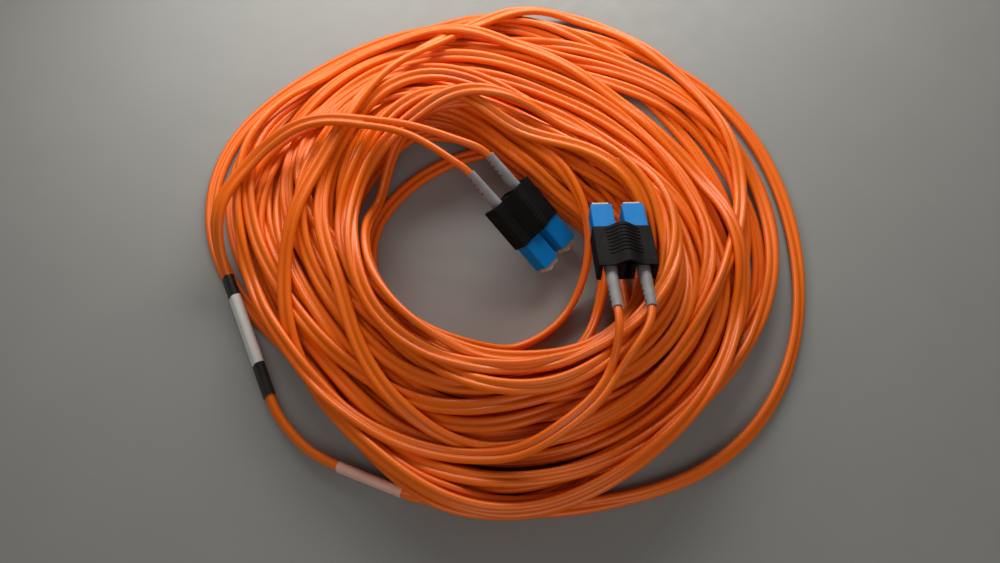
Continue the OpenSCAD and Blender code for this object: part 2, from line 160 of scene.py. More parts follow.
BESIDE_PAIR = [(-26, 80), (-11, 78), (-4, 76), (5, 74), (14, 71), (24, 67), (33, 63.5),
               (45, 61), (63, 59), (78, 58), (94, 57), (106, 55), (120, 51.5), (135, 51),
               (150, 51), (163, 50), (191, 49.5), (205, 51), (220, 54), (235, 57), (255, 60),
               (275, 62.5), (290, 67), (305, 72), (320, 77)]
CROSSING_TURN = [(285, 92), (301, 93.5), (314, 95.5), (329, 96.5), (341, 98.5), (350, 102),
                 (358, 107), (365, 113), (371, 118), (379, 122.5), (387, 125), (398, 126.5),
                 (406, 127.5), (413, 128.5), (421, 130), (429, 131), (436, 129), (442, 121),
                 (450, 110), (458, 98.5), (467, 88), (478, 78), (491, 71), (505, 67.5),
                 (517, 67.5), (531, 70), (545, 75), (555, 78), (565, 82), (575, 87), (584, 90),
                 (595, 93), (602, 96.5), (610, 100.5), (617, 106.5), (626, 111.5), (633, 114.5),
                 (641, 116), (655, 115), (665, 113), (680, 113)]
LAST_TURN = [(480, 106), (500, 107), (520, 105), (540, 98), (550, 95), (560, 92), (570, 89),
             (585, 89), (600, 91.7), (613, 92.7), (620, 93.2), (631, 94.2)]
SET_TURNS = [(0, FIRST_TURN), (2, LEFT_TURN), (3, CORNER_CHORD), (6, TOP_RIGHT),
             (12, TOP_RIGHT), (20, TOP_RIGHT), (28, TOP_RIGHT), (FULL_TURNS - 7, INNER_TURN),
             (FULL_TURNS - 4, EDGE_TURN), (FULL_TURNS - 2, BESIDE_PAIR),
             (FULL_TURNS - 1, CROSSING_TURN), (FULL_TURNS, LAST_TURN)]
# Where the cord is tilted: turn, first and last bearing, roll in degrees
TILTS = [(0, -120, -92, -45), (0, -50, -18, -42), (FULL_TURNS - 7, -130, 20, 82),
         (FULL_TURNS - 4, 110, 250, 82)]


# %% Bend a run of the cord onto one set turn
TURN_EASE, TILT_EASE = 1.5, 0.6


def share_of(bearing, turn, first, last, ease):
    """1 from the first to the last bearing of a turn, easing to 0 before and after."""
    start, end = math.radians(360 * turn + first), math.radians(360 * turn + last)
    lead_in = np.clip((bearing - start + ease) / ease, 0, 1)
    lead_out = np.clip((end + ease - bearing) / ease, 0, 1)
    return (0.5 - 0.5 * np.cos(np.pi * lead_in)) * (0.5 - 0.5 * np.cos(np.pi * lead_out))


# %% Points one step apart
STEP = 2.0


def even_steps(line, step):
    """The same line with its points one step apart."""
    run = np.concatenate([[0], np.cumsum(np.linalg.norm(np.diff(line[:, :2], axis=0), axis=1))])
    at = np.linspace(0, run[-1], int(run[-1] / step) + 1)
    return np.stack([np.interp(at, run, line[:, k]) for k in range(line.shape[1])], 1)


# %% How the cord drifts between hole and rim
# Spans are in radians of winding, and the step is in degrees
COURSE_SEED = 5
SWING, SWING_SPAN, SWING_START = 0.32, 6.3, 1.1
WANDER, WANDER_SPAN = 0.32, 6.0
BEARING_STEP = 1.2
SET_FIRMNESS = 300
COURSE_SOFTNESS = 7


# %% The cord's course in plan
def plan_course():
    """Columns x, y, how firmly the cord keeps to its course, its set roll and that roll's share."""
    rng = np.random.default_rng(COURSE_SEED)
    first = math.radians(FIRST_TURN[0][0])
    last = math.radians(360 * FULL_TURNS + LAST_TURN[-1][0])
    bearing = np.linspace(first, last, int((last - first) / math.radians(BEARING_STEP)))
    wound = bearing - first
    drift = (0.5 + SWING * np.sin(wound / SWING_SPAN + SWING_START)
             + WANDER * smooth_noise(wound, WANDER_SPAN, rng))
    drift = np.clip(1 - np.abs(1 - np.abs(drift)), 0, 1)
    radius = inner_edge(bearing) + (outer_edge(bearing) - inner_edge(bearing)) * drift
    firm = np.ones(len(bearing))
    set_roll, tilted = np.zeros(len(bearing)), np.zeros(len(bearing))
    for turn, named in SET_TURNS:
        share = share_of(bearing, turn, named[0][0], named[-1][0], TURN_EASE)
        named_bearings = np.radians([360 * turn + b for b, r in named])
        wanted = np.interp(bearing, named_bearings, [r for b, r in named])
        radius = radius * (1 - share) + wanted * share
        firm = firm + SET_FIRMNESS * share ** 3
    for turn, first_bearing, last_bearing, degrees in TILTS:
        share = share_of(bearing, turn, first_bearing, last_bearing, TILT_EASE)
        set_roll = set_roll + math.radians(degrees) * (share > 0)
        tilted = np.maximum(tilted, share)
    radius = soften(radius, COURSE_SOFTNESS)
    x, y = COIL_MID[0] + radius * np.cos(bearing), COIL_MID[1] + radius * np.sin(bearing)
    return even_steps(np.stack([x, y, firm, set_roll, tilted], 1), STEP)


# Steps of the cord that slide sideways together
BLOCK = 8
course = plan_course()
course = course[:len(course) // BLOCK * BLOCK]
print("coiled length", round(len(course) * STEP / 1000, 1), "m in", len(course), "steps")

# %% [markdown]
# ## Laying the cord down
# Each turn comes to rest on the turns before it. A height map of the pile holds the top
# surface so far: each piece of cord reads the height that its two legs need, rises over
# crossings in a low arc, as a springy cord does, tips so that both legs find a rest,
# slides a little towards lower ground, and then adds itself to the map.

# %% A height map of the pile
CELL = 0.5
MAP_HALF = np.array((150.0, 150.0))
MAP_CELLS = 601
pile = np.zeros((MAP_CELLS, MAP_CELLS))


def cells(points):
    """Rows and columns of the height map under plan points."""
    at = np.rint((points + MAP_HALF) / CELL).astype(int)
    return np.clip(at[..., 0], 0, MAP_CELLS - 1), np.clip(at[..., 1], 0, MAP_CELLS - 1)


# Places across a leg, and how far its round stands from its middle there
ACROSS = np.linspace(-1.4, 1.4, 7)
ROUND = np.sqrt(LEG_R ** 2 - ACROSS ** 2)


def leg_height(centre, side):
    """Height at which a leg's middle rests, from the map under its width."""
    under = centre[:, None, :] + side[:, None, :] * ACROSS[None, :, None]
    return np.maximum((pile[cells(under)] + ROUND).max(axis=1), LEG_R)


# %% A cord over a crossing makes a low arc
ARC_RADIUS = 40.0
REACH = 16


def arc_over(height):
    """Raise the heights to the lowest curve that bends no tighter than the arc."""
    raised = height.copy()
    for k in range(1, REACH):
        drop = (k * STEP) ** 2 / (2 * ARC_RADIUS)
        raised[k:] = np.maximum(raised[k:], height[:-k] - drop)
        raised[:-k] = np.maximum(raised[:-k], height[k:] - drop)
    return soften(raised, 2)


# %% Routes of the two free ends, as x, y, z and roll in degrees
ROUTE_A = [(-33, -105.5, 2.9, 45), (-37, -104.5, 3.2, 70), (-41, -103, 3.5, 80),
           (-67, -93, 3.5, 80), (-79, -87, 3.5, 75), (-88.2, -78, 3.6, 68),
           (-94.2, -70, 3.7, 62), (-96, -65.5, 3.8, 60), (-118, -15.5, 7, 60),
           (-120.5, -8, 9.5, 50), (-121, -1, 13, 30), (-120.5, 6, 16, 15),
           (-118.5, 13, 18.5, 5), (-113.5, 22, 21.5, 0), (-104.5, 33, 24.5, 0),
           (-92.3, 40.6, 27, 0), (-86, 42.7, 29, 0), (-79.2, 43.7, 31, 0),
           (-73.5, 43.5, 33.2, 0), (-67.8, 42.7, 35.2, 0), (-63, 41.8, 36.6, 0),
           (-60, 41.2, 37.2, 0)]
ROUTE_B = [(-4, -92.3, 19.6, 0), (3, -91.6, 22, 0), (9.5, -89.3, 24.4, 0), (15, -86.2, 26.2, 0),
           (20, -83, 27.5, 0), (25, -79.5, 29, 0), (29.5, -75.7, 31.2, 0), (33, -71.8, 33.8, 0),
           (35.5, -68, 36.6, 0), (36.8, -65.5, 38.3, 0)]
SLEEVE_TOP = ROUTE_A[8]


def soften_line(line, width):
    """Soften every column of a line and keep its two ends where they are."""
    pad = 3 * width
    before, after = 2 * line[0] - line[pad:0:-1], 2 * line[-1] - line[-2:-pad - 2:-1]
    whole = np.concatenate([before, line, after])
    return np.stack([np.convolve(c, bell_window(width), mode="valid") for c in whole.T], 1)


def fine_route(points):
    """A route's points joined, a millimetre apart and softened."""
    return soften_line(even_steps(np.asarray(points, float), 1.0), 3)


# %% The room that the pile has under the plug pair and the free ends
PAIR_B, PAIR_B_YAW = np.array((44.0, -16.0)), 3
# Half of the pair's width and length, its underside's height and how fast that falls
PAIR_HALF_W, PAIR_HALF_L = 14, 30
PAIR_UNDERSIDE, PAIR_SLOPE = 28.8, 0.325
# How near to a lead the pile keeps below it, and by how much
LEAD_REACH, BELOW_LEAD = 7, 3
NOTHING_ABOVE = 99.0
UNDER_LEADS = np.concatenate([fine_route(ROUTE_A)[10:], fine_route(ROUTE_B)])[::3, :3]


def room_over(points):
    """Height of what lies above plan points, and plenty where nothing does."""
    turn = math.radians(PAIR_B_YAW)
    along = (points - PAIR_B) @ np.array((-math.sin(turn), math.cos(turn)))
    across = (points - PAIR_B) @ np.array((math.cos(turn), math.sin(turn)))
    inside = (np.abs(across) < PAIR_HALF_W) & (along > -PAIR_HALF_L) & (along < PAIR_HALF_L)
    room = np.where(inside, PAIR_UNDERSIDE - PAIR_SLOPE * along, NOTHING_ABOVE)
    away = np.linalg.norm(points[:, None, :] - UNDER_LEADS[None, :, :2], axis=2)
    nearest = away.argmin(axis=1)
    below = np.minimum(room, UNDER_LEADS[nearest, 2] - BELOW_LEAD)
    return np.where(away.min(axis=1) < LEAD_REACH, below, room)


# %% Two gaps that stay open in the pile
# Place, heading in degrees, half length and half width
GAPS = [((14.5, -92), 13, 20, 6.5), ((-60, 78), 27, 16, 3)]


def in_gap(points):
    """1 in the middle of a gap, falling to 0 at its edge."""
    depth = np.zeros(len(points))
    for place, heading, half_length, half_width in GAPS:
        a = math.radians(heading)
        away = points - np.array(place)
        along = (away @ np.array((math.cos(a), math.sin(a)))) / half_length
        across = (away @ np.array((-math.sin(a), math.cos(a)))) / half_width
        depth = np.maximum(depth, np.clip(1 - along ** 2 - across ** 2, 0, 1))
    return depth


# %% Find the low ground beside the course
# Offsets to try, in mm. Every cost is counted in mm of height
OFFSET_STEP = 1.5
OFFSETS = np.arange(-18, 18.1, OFFSET_STEP)
# A shift this long costs 1, and a course this firm may pass the rim
FREE_SHIFT, FREE_BELOW = 10, 2
BEYOND_LIMIT, BEYOND_COST = 12, 3
CLEARANCE, NO_ROOM_COST, GAP_COST = 1, 60, 30
MEAN_SHARE, PEAK_SHARE = 0.6, 0.4
START_COST, MOVE_COST = 20, 1.0


def low_ground(middle, side, roll, start_offset, done, firm):
    """Sideways offsets that keep the cord in the valleys of the pile."""
    spread = LEG_R * np.cos(roll)
    fields = []
    for offset in OFFSETS:
        centre = middle + offset * side
        right = leg_height(centre + spread[:, None] * side, side)
        left = leg_height(centre - spread[:, None] * side, side)
        need = np.maximum(right, left)
        away = centre - COIL_MID
        radius, bearing = np.linalg.norm(away, axis=1), np.arctan2(away[:, 1], away[:, 0])
        beyond = np.maximum(radius - outer_edge(bearing), inner_edge(bearing) - radius)
        need = need + np.clip(beyond, 0, BEYOND_LIMIT) * BEYOND_COST * (firm < FREE_BELOW)
        no_room = need + LEG_R + CLEARANCE > room_over(centre)
        need = need + np.where(no_room, NO_ROOM_COST, 0) + GAP_COST * in_gap(centre)
        fields.append(need + firm * (offset / FREE_SHIFT) ** 2)
    field = np.stack(fields, 1)
    blocks = len(middle) // BLOCK
    field = field[:blocks * BLOCK].reshape(blocks, BLOCK, -1)
    cost = MEAN_SHARE * field.mean(axis=1) + PEAK_SHARE * field.max(axis=1)
    move = (np.subtract.outer(OFFSETS, OFFSETS) / OFFSET_STEP) ** 2 * MOVE_COST
    start = done // BLOCK
    best = (OFFSETS - start_offset) ** 2 * START_COST
    back = []
    for k in range(start + 1, blocks):
        total = best[None, :] + move
        back.append(total.argmin(axis=1))
        best = total.min(axis=1) + cost[k]
    chosen = [int(best.argmin())]
    for pointer in reversed(back):
        chosen.append(int(pointer[chosen[-1]]))
    at = (np.arange(start, blocks) + 0.5) * BLOCK
    return np.interp(np.arange(len(middle)), at, OFFSETS[chosen[::-1]])


# %% Lay the whole course down, a part of a turn at a time
# The cord's own roll in degrees, and the mm over which it holds together
ROLL_SEED, OWN_ROLL, ROLL_SPAN = 11, 12, 110
# Steps laid at once, steps looked at around them, and steps of easing in
PART, AHEAD, RAMP = 80, 48, 16
# Rounds of settling, the sine of the steepest roll, and the air under the cord in mm
TRIES, STEEPEST, AIR = 4, 0.9, 0.1


def lay_down(course):
    """Plan places, rolls and heights of the cord once it has come to rest."""
    rng = np.random.default_rng(ROLL_SEED)
    count, firm = len(course), course[:, 2]
    own_roll = np.radians(OWN_ROLL) * smooth_noise(np.arange(count) * STEP, ROLL_SPAN, rng)
    own_roll += (course[:, 3] - own_roll) * course[:, 4]
    base, base_side = course[:, :2], side_of(course[:, :2])
    place, roll = base.copy(), own_roll.copy()
    height, shift, needs = np.zeros(count), np.zeros(count), np.zeros((count, 2))
    for first in range(0, count, PART):
        low, high = max(0, first - AHEAD), min(count, first + PART + AHEAD)
        done, stop = first - low, min(first + PART, count)
        window = slice(low, high)
        ramp = np.clip((np.arange(high - low) - done) / RAMP, 0, 1)
        ramp = ramp ** 2 * (3 - 2 * ramp)
        path = low_ground(base[window], base_side[window], roll[window], shift[first],
                          done, firm[window])
        path[:done] = shift[low:first]
        shift[window] += ramp * (soften(path, 8) - shift[window])
        shift[high:] = shift[high - 1]
        place[first:] = (base + base_side * shift[:, None])[first:]
        side = side_of(place[max(0, low - 1):high + 1])[low - max(0, low - 1):][:high - low]
        turned, own = roll[window].copy(), own_roll[window]
        guess, middle = turned.copy(), place[window]
        for attempt in range(TRIES):
            spread = (LEG_R * np.cos(turned))[:, None] * side
            needs[first:high, 0] = leg_height(middle + spread, side)[done:]
            needs[first:high, 1] = leg_height(middle - spread, side)[done:]
            right, left = arc_over(needs[window, 0]), arc_over(needs[window, 1])
            if attempt == TRIES - 1:
                break
            rest = np.arcsin(np.clip((right - left) / LEG_D, -STEEPEST, STEEPEST))
            flat = 1 - course[window, 4]
            turned = guess + ramp * (soften(flat * rest + (1 - flat) * own, 4) - guess)
        level = np.maximum(right - LEG_R * np.sin(turned), left + LEG_R * np.sin(turned))
        roll[first:high] = turned[done:]
        height[first:stop] = soften(level, 2)[done:done + stop - first] + AIR
        joined = slice(max(0, first - 1), stop)
        stamp(place[joined], side_of(place[joined]), roll[joined], height[joined])
    return place, roll, soften(height, 2)


def side_of(line):
    """Unit directions square to a plan line, to its right."""
    heading = np.gradient(line, axis=0)
    heading /= np.linalg.norm(heading, axis=1)[:, None]
    return np.stack([heading[:, 1], -heading[:, 0]], 1)


# %% Add a laid piece to the height map
def stamp(middle, side, roll, height):
    """Raise the map to the tops of both legs, four times as fine as the steps."""
    fine = np.linspace(0, len(middle) - 1, 4 * len(middle))
    whole = np.arange(len(middle))

    def pick(values):
        return np.interp(fine, whole, values)

    centre = np.stack([pick(middle[:, 0]), pick(middle[:, 1])], 1)
    across = np.stack([pick(side[:, 0]), pick(side[:, 1])], 1)
    turned, level = pick(roll), pick(height)
    for sign in (1, -1):
        leg = centre + sign * (LEG_R * np.cos(turned))[:, None] * across
        top = level + sign * LEG_R * np.sin(turned)
        for offset, lift in zip(ACROSS, ROUND):
            np.maximum.at(pile, cells(leg + offset * across), top + lift)


label_run = fine_route(ROUTE_A[:8])
stamp(label_run[:, :2], side_of(label_run[:, :2]), np.radians(label_run[:, 3]),
      label_run[:, 2])
place, roll, height = lay_down(course)
print("pile", round(float(height.max()) + LEG_D, 1), "mm high")

# %% [markdown]
# ## From a line to a zip cord
# The cord's section is a figure of eight: two rounds that meet in a thin web. Rings of
# that section follow the line, turned by its roll, and quads join them. The same helper
# makes a single leg from a plain round. Each piece gets a UV map, length along and
# distance around in metres, so that its finish can follow it.

# %% Sections
# Half of the web's thickness
WEB_HALF = 0.42


def eight_section():
    """The zip cord's section: two rounds and the web between them, in mm."""
    points = []
    for sign in (1, -1):
        for a in (-126, -90, -54, -18, 18, 54, 90, 126):
            points.append((sign * (LEG_R + LEG_R * math.cos(math.radians(a))),
                           sign * LEG_R * math.sin(math.radians(a))))
        points.append((0.0, sign * WEB_HALF))
    return np.array(points)


def round_section(sides=12):
    """A single leg's round section, in mm."""
    a = np.arange(sides) * 2 * np.pi / sides
    return np.stack([LEG_R * np.cos(a), LEG_R * np.sin(a)], 1)


EIGHT = eight_section()
LEG = round_section()
print("zip cord section of", len(EIGHT), "points")


# %% Sweep a section along a line
def runs_of(line):
    """How far along a line each of its points lies, in mm."""
    return np.concatenate([[0], np.cumsum(np.linalg.norm(np.diff(line[:, :3], axis=0), axis=1))])


def sweep(name, line, roll, section, run_start=0.0, run_way=1, before=None, after=None):
    """A closed tube along line, in mm, with the section turned by roll at each point."""
    line = np.asarray(line, float)
    before = 2 * line[0] - line[1] if before is None else before
    after = 2 * line[-1] - line[-2] if after is None else after
    heading = np.gradient(np.concatenate([[before], line, [after]]), axis=0)[1:-1]
    heading /= np.linalg.norm(heading, axis=1)[:, None]
    side = np.cross(heading, (0.0, 0.0, 1.0))
    side /= np.linalg.norm(side, axis=1)[:, None]
    up = np.cross(side, heading)
    c, s = np.cos(roll)[:, None], np.sin(roll)[:, None]
    right, above = side * c + up * s, up * c - side * s
    n, rings = len(section), len(line)
    points = (line[:, None, :] + right[:, None, :] * section[None, :, 0, None]
              + above[:, None, :] * section[None, :, 1, None]) * MM
    i = np.arange(rings - 1)[:, None] * n
    k = np.arange(n)[None, :]
    k2 = (k + 1) % n
    quads = np.stack([i + k, i + n + k, i + n + k2, i + k2], -1).reshape(-1, 4)
    mesh = bpy.data.meshes.new(name)
    faces = quads.tolist() + [list(range(n)), [(rings - 1) * n + j for j in reversed(range(n))]]
    mesh.from_pydata(points.reshape(-1, 3).tolist(), [], faces)
    add_run_map(mesh, line, section, len(quads), run_start, run_way)
    mesh.polygons.foreach_set("use_smooth", [True] * len(quads) + [False, False])
    mesh.update(calc_edges=True)
    mark_caps(mesh, n, rings)
    piece = bpy.data.objects.new(name, mesh)
    bpy.context.scene.collection.objects.link(piece)
    return piece


# %% Keep the shading of the cut ends off the round jacket
def mark_caps(mesh, n, rings):
    """Sharp edges round both ends, so that a length meets the next with no dark seam."""
    ends = np.empty(2 * len(mesh.edges), int)
    mesh.edges.foreach_get("vertices", ends)
    ends = ends.reshape(-1, 2)
    first, last = (ends < n).all(axis=1), (ends >= (rings - 1) * n).all(axis=1)
    mesh.edges.foreach_set("use_edge_sharp", (first | last).tolist())


# %% A UV map that runs along the cord
def add_run_map(mesh, line, section, quads, run_start, run_way):
    """The map's v goes on from the run of the piece before, so that no joint shows."""
    n = len(section)
    run = run_start + run_way * runs_of(line) * MM
    edge = np.linalg.norm(np.roll(section, -1, 0) - section, axis=1)
    around = np.concatenate([[0], np.cumsum(edge)]) * MM
    i, k = np.divmod(np.arange(quads), n)
    u = np.stack([around[k], around[k], around[k + 1], around[k + 1]], 1)
    v = np.stack([run[i], run[i + 1], run[i + 1], run[i]], 1)
    uv = np.concatenate([np.stack([u, v], -1).reshape(-1, 2), np.zeros((2 * n, 2))])
    mesh.uv_layers.new(name="run").data.foreach_set("uv", uv.ravel())


# %% The rings of the coil's two pieces, the lower turns and the upper turns
RINGS = 2
coil_line = np.column_stack([place, height])
middle_ring = len(coil_line) // 4 * RINGS
lower_keep = np.arange(0, middle_ring + 1, RINGS)
upper_keep = np.append(np.arange(middle_ring, len(coil_line) - 1, RINGS), len(coil_line) - 1)
lower_line, upper_line = coil_line[lower_keep], coil_line[upper_keep]
print("coil pieces have", [2 * len(EIGHT) * len(k) for k in (lower_keep, upper_keep)], "triangles")

# %% [markdown]
# ## The two free ends
# Each end of the cord leaves the coil, crosses the pile and divides into two legs that run
# into the boots. An end follows its route in plan. On the floor and in the marker sleeve it
# keeps the route's height, and on the pile it rests on the turns below it and rises to the
# boots in the same low arc that a crossing makes.

# %% Lay a free end
# Over how many mm an end settles onto the pile, and for how many it stays as routed
SETTLE, HELD = 24, 6


def free_end(end, start_roll, route, fixed_to):
    """Line and roll from the coil's end to where the cord divides, straight at first."""
    heading = (end[-1] - end[-2]) / np.linalg.norm(end[-1] - end[-2])
    first = [[*(end[-1] + d * heading), start_roll] for d in (0, STEP, 2 * STEP, 3 * STEP)]
    line = even_steps(np.concatenate([first, np.asarray(route, float)]), STEP)
    line = soften_line(line, 2)
    side = side_of(line[:, :2])
    need = np.maximum(leg_height(line[:, :2] + LEG_R * side, side),
                      leg_height(line[:, :2] - LEG_R * side, side))
    kept = line[:, 2].copy()
    run = np.arange(len(line)) * STEP
    fixed = 4 * STEP
    if fixed_to:
        fixed = run[np.linalg.norm(line[:, :3] - fixed_to[:3], axis=1).argmin()]
    own = np.clip((run - fixed) / SETTLE, 0, 1)
    need[-1] = max(need[-1], kept[-1])
    rest = arc_over(arc_over(need))
    line[:, 2] = kept + (rest - kept) * own ** 2 * (3 - 2 * own)
    line[:, 2] = np.maximum(line[:, 2], np.where(run > fixed + HELD, need, 0))
    line[:, 2:3] = soften_line(line[:, 2:3], 3)
    if fixed_to:
        keep = run <= fixed
        line[keep, 2] = kept[keep]
    off_floor = LEG_R + LEG_R * np.abs(np.sin(np.radians(line[1:, 3])))
    line[1:, 2] = np.maximum(line[1:, 2], off_floor)
    return line


lead_a_line = free_end(lower_line[1::-1], -math.degrees(roll[0]), ROUTE_A, SLEEVE_TOP)
lead_b_line = free_end(upper_line[-2:], math.degrees(roll[-1]), ROUTE_B, None)
print("free ends", [len(k) * STEP for k in (lead_a_line, lead_b_line)], "mm long")

# %% Sweep the coil's two pieces and its two ends, each with its neighbour's next point
lower_run = runs_of(lower_line)[-1] * MM
coil_run = lower_run + runs_of(upper_line)[-1] * MM
coil_lower = sweep("coil_lower", lower_line, roll[lower_keep], EIGHT, 0.0, 1,
                   lead_a_line[1, :3], upper_line[1])
coil_upper = sweep("coil_upper", upper_line, roll[upper_keep], EIGHT, lower_run, 1,
                   lower_line[-2], lead_b_line[1, :3])
lead_a = sweep("lead_a_cord", lead_a_line[:, :3], np.radians(lead_a_line[:, 3]), EIGHT,
               0.0, -1, lower_line[1])
lead_b = sweep("lead_b_cord", lead_b_line[:, :3], np.radians(lead_b_line[:, 3]), EIGHT,
               coil_run, 1, upper_line[-2])

# %% [markdown]
# ## The four legs
# A leg starts beside the web where the zip cord divides, follows its own route and ends
# inside its boot, which is straight. The plug pair's place and its three turns give the
# boot's line, so the leg runs in on the axis of the boot.

# %% A plug pair's own frame
PAIRS = {"a": ((5, 9.5, 17.0), (-133, -28, -11)), "b": ((44, -16, 34), (3, -18, 2))}
SIDES = {"a1": 6.35, "a2": -6.35, "b1": -6.35, "b2": 6.35}
BOOT_REAR, JACKET_FRONT = -27.0, -9.0


def in_pair(pair, point):
    """A point of a plug pair's frame in the model's frame, in mm."""
    x, y, z = point
    yaw, pitch, tilt = (math.radians(a) for a in PAIRS[pair][1])
    x, z = x * math.cos(tilt) + z * math.sin(tilt), z * math.cos(tilt) - x * math.sin(tilt)
    y, z = y * math.cos(pitch) - z * math.sin(pitch), y * math.sin(pitch) + z * math.cos(pitch)
    x, y = x * math.cos(yaw) - y * math.sin(yaw), x * math.sin(yaw) + y * math.cos(yaw)
    return np.add((x, y, z), PAIRS[pair][0])


print("boot tails at",
      [in_pair(p[0], (x, BOOT_REAR, 0)).round(1).tolist() for p, x in SIDES.items()])

# %% Lay the legs
LEG_ROUTES = {
    "a1": (lead_a_line, 1, [(-49.5, 37.8, 37.6), (-40.6, 35.2, 37.1), (-32, 30.4, 36.1),
                            (-27.5, 27.7, 35.1), (-23.1, 24.7, 33.8)]),
    "a2": (lead_a_line, -1, [(-47.7, 41, 37.6), (-40.7, 39.8, 37.1), (-34.2, 38.3, 36.3),
                             (-27.3, 36.4, 35.1), (-20.6, 34.6, 33.5), (-15.5, 33.8, 31.9)]),
    "b1": (lead_b_line, -1, [(38.8, -53, 43.9), (39.3, -48.5, 44.3)]),
    "b2": (lead_b_line, 1, [(42.5, -60, 41.8), (46, -55.5, 43.2), (49.3, -50.5, 43.9)])}


# Air between two legs where the web ends
SPLIT_GAP = 0.05


def leg_line(plug):
    """A leg's line from where the zip cord divides to the crimp in its boot."""
    zip_line, sign, route = LEG_ROUTES[plug]
    end, heading = zip_line[-1, :3], zip_line[-1, :3] - zip_line[-3, :3]
    heading = heading / np.linalg.norm(heading)
    side = np.cross(heading, (0, 0, 1))
    side /= np.linalg.norm(side)
    start = [end + d * heading + sign * (LEG_R + SPLIT_GAP) * side for d in (-2, 0, 2.5)]
    boot = [in_pair(plug[0], (SIDES[plug], y, 0))
            for y in (BOOT_REAR - 3, BOOT_REAR, JACKET_FRONT)]
    line = np.array(start + [np.array(p, float) for p in route] + boot)
    return soften_line(even_steps(line, 1.0), 3)


leg_lines = {plug: leg_line(plug) for plug in LEG_ROUTES}
legs = {plug: sweep("leg_%s_cord" % plug, line, np.zeros(len(line)), LEG)
        for plug, line in leg_lines.items()}
print("legs", {plug: len(line) for plug, line in leg_lines.items()}, "mm long")

# %% [markdown]
# ## The ferrule springs
# Behind each ferrule's flange a short spring lets the ferrule give by a millimetre when two
# plugs meet. It is wound from wire, and its end turns are closed so that they seat flat. The
# model's plain tube only marks its room, so a wound spring takes its place, seated on the stop
# ring.

# %% Wind the four springs
SPRING_REAR, SPRING_L, SPRING_TURNS = 7.4, 6.0, 7
SPRING_R, WIRE_R, PUSH = 1.8, 0.23, 1.0
END_TURN = 3.1 * WIRE_R
WIRE = round_section(8) * WIRE_R / LEG_R


def spring_line():
    """A helix on local Z, with its first and last turn closed."""
    turn = np.linspace(0, SPRING_TURNS, 20 * SPRING_TURNS + 1)
    rise = np.interp(turn, (0, 1, SPRING_TURNS - 1, SPRING_TURNS),
                     (WIRE_R, END_TURN, SPRING_L - END_TURN, SPRING_L - WIRE_R))
    angle = 2 * np.pi * turn
    return np.stack([SPRING_R * np.cos(angle), SPRING_R * np.sin(angle), rise], 1)


def seat_in_plug(piece, plug, station):
    """Turn a piece that stands on local Z onto a plug's axis, from that station forward."""
    seat = in_pair(plug[0], (SIDES[plug], station, 0))
    ways = [in_pair(plug[0], (SIDES[plug] + x, station + y, z)) - seat
            for x, y, z in ((0, 0, 1), (1, 0, 0), (0, 1, 0))]
    turn = Matrix(np.transpose(ways).tolist()).to_4x4()
    turn.translation = (seat * MM).tolist()
    piece.data.transform(turn)
    return tuple(ways[2].tolist()), tuple((seat * MM).tolist())


springs = []
for plug in SIDES:
    helix = spring_line()
    spring = sweep("spring_%s_wire" % plug, helix, np.zeros(len(helix)), WIRE)
    plug_way, seat = seat_in_plug(spring, plug, SPRING_REAR)
    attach(spring, "cord")
    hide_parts("spring_" + plug)
    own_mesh(spring)
    springs.append(spring)
print(len(springs), "springs of", SPRING_TURNS, "turns")

def length_of(line):
    """A line's length in metres."""
    return float(np.linalg.norm(np.diff(line[:, :3], axis=0), axis=1).sum()) * MM


def declare(piece, replaced):
    """One length of free cord that rides on the cord's body."""
    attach(piece, "cord")
    if replaced:
        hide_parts(replaced)


declare(coil_lower, "coil_loops")
declare(coil_upper, None)
declare(lead_a, "lead_a")
declare(lead_b, "lead_b")
for plug, line in leg_lines.items():
    declare(legs[plug], "leg_" + plug)
whole = sum(length_of(line)
            for line in (coil_line, lead_a_line, lead_b_line, leg_lines["a1"]))
print("cord from plug to plug", round(whole, 2), "m")

# %% [markdown]
# ## Finishes
# Every finish is made of nodes. A slow noise shifts the colour a little from place to place,
# as age and handling do, a finer one moves the roughness, and a fine grain goes to a bump.
# The patterns read Object coordinates, which are metres here, so a noise scale of 1000 has
# features about a millimetre across.

# %% Helpers for finishes
NOISE_LOW, NOISE_HIGH = 0.3, 0.7


def new_finish(name, rough, specular=0.5):
    """A material with its shader, its node tree and its two constants set."""
    material = bpy.data.materials.new(name)
    material.use_nodes = True
    tree = material.node_tree
    shader = tree.nodes["Principled BSDF"]
    shader.inputs["Roughness"].default_value = rough
    shader.inputs["Specular IOR Level"].default_value = specular
    return material, tree, shader


def noise_node(tree, where, scale, detail=2.0):
    """A noise read at where, with that many features a metre."""
    node = tree.nodes.new("ShaderNodeTexNoise")
    node.inputs["Scale"].default_value = scale
    node.inputs["Detail"].default_value = detail
    tree.links.new(where, node.inputs["Vector"])
    return node.outputs["Fac"]


def between(tree, value, low, high):
    """Turn a noise into a number from low to high."""
    node = tree.nodes.new("ShaderNodeMapRange")
    for socket, number in (("From Min", NOISE_LOW), ("From Max", NOISE_HIGH),
                           ("To Min", low), ("To Max", high)):
        node.inputs[socket].default_value = number
    tree.links.new(value, node.inputs["Value"])
    return node.outputs["Result"]


def two_colours(tree, value, dark, light):
    """Turn a noise into a colour from dark to light."""
    node = tree.nodes.new("ShaderNodeValToRGB")
    low, high = node.color_ramp.elements
    low.position, high.position = NOISE_LOW, NOISE_HIGH
    low.color, high.color = (*dark, 1), (*light, 1)
    tree.links.new(value, node.inputs["Fac"])
    return node.outputs["Color"]


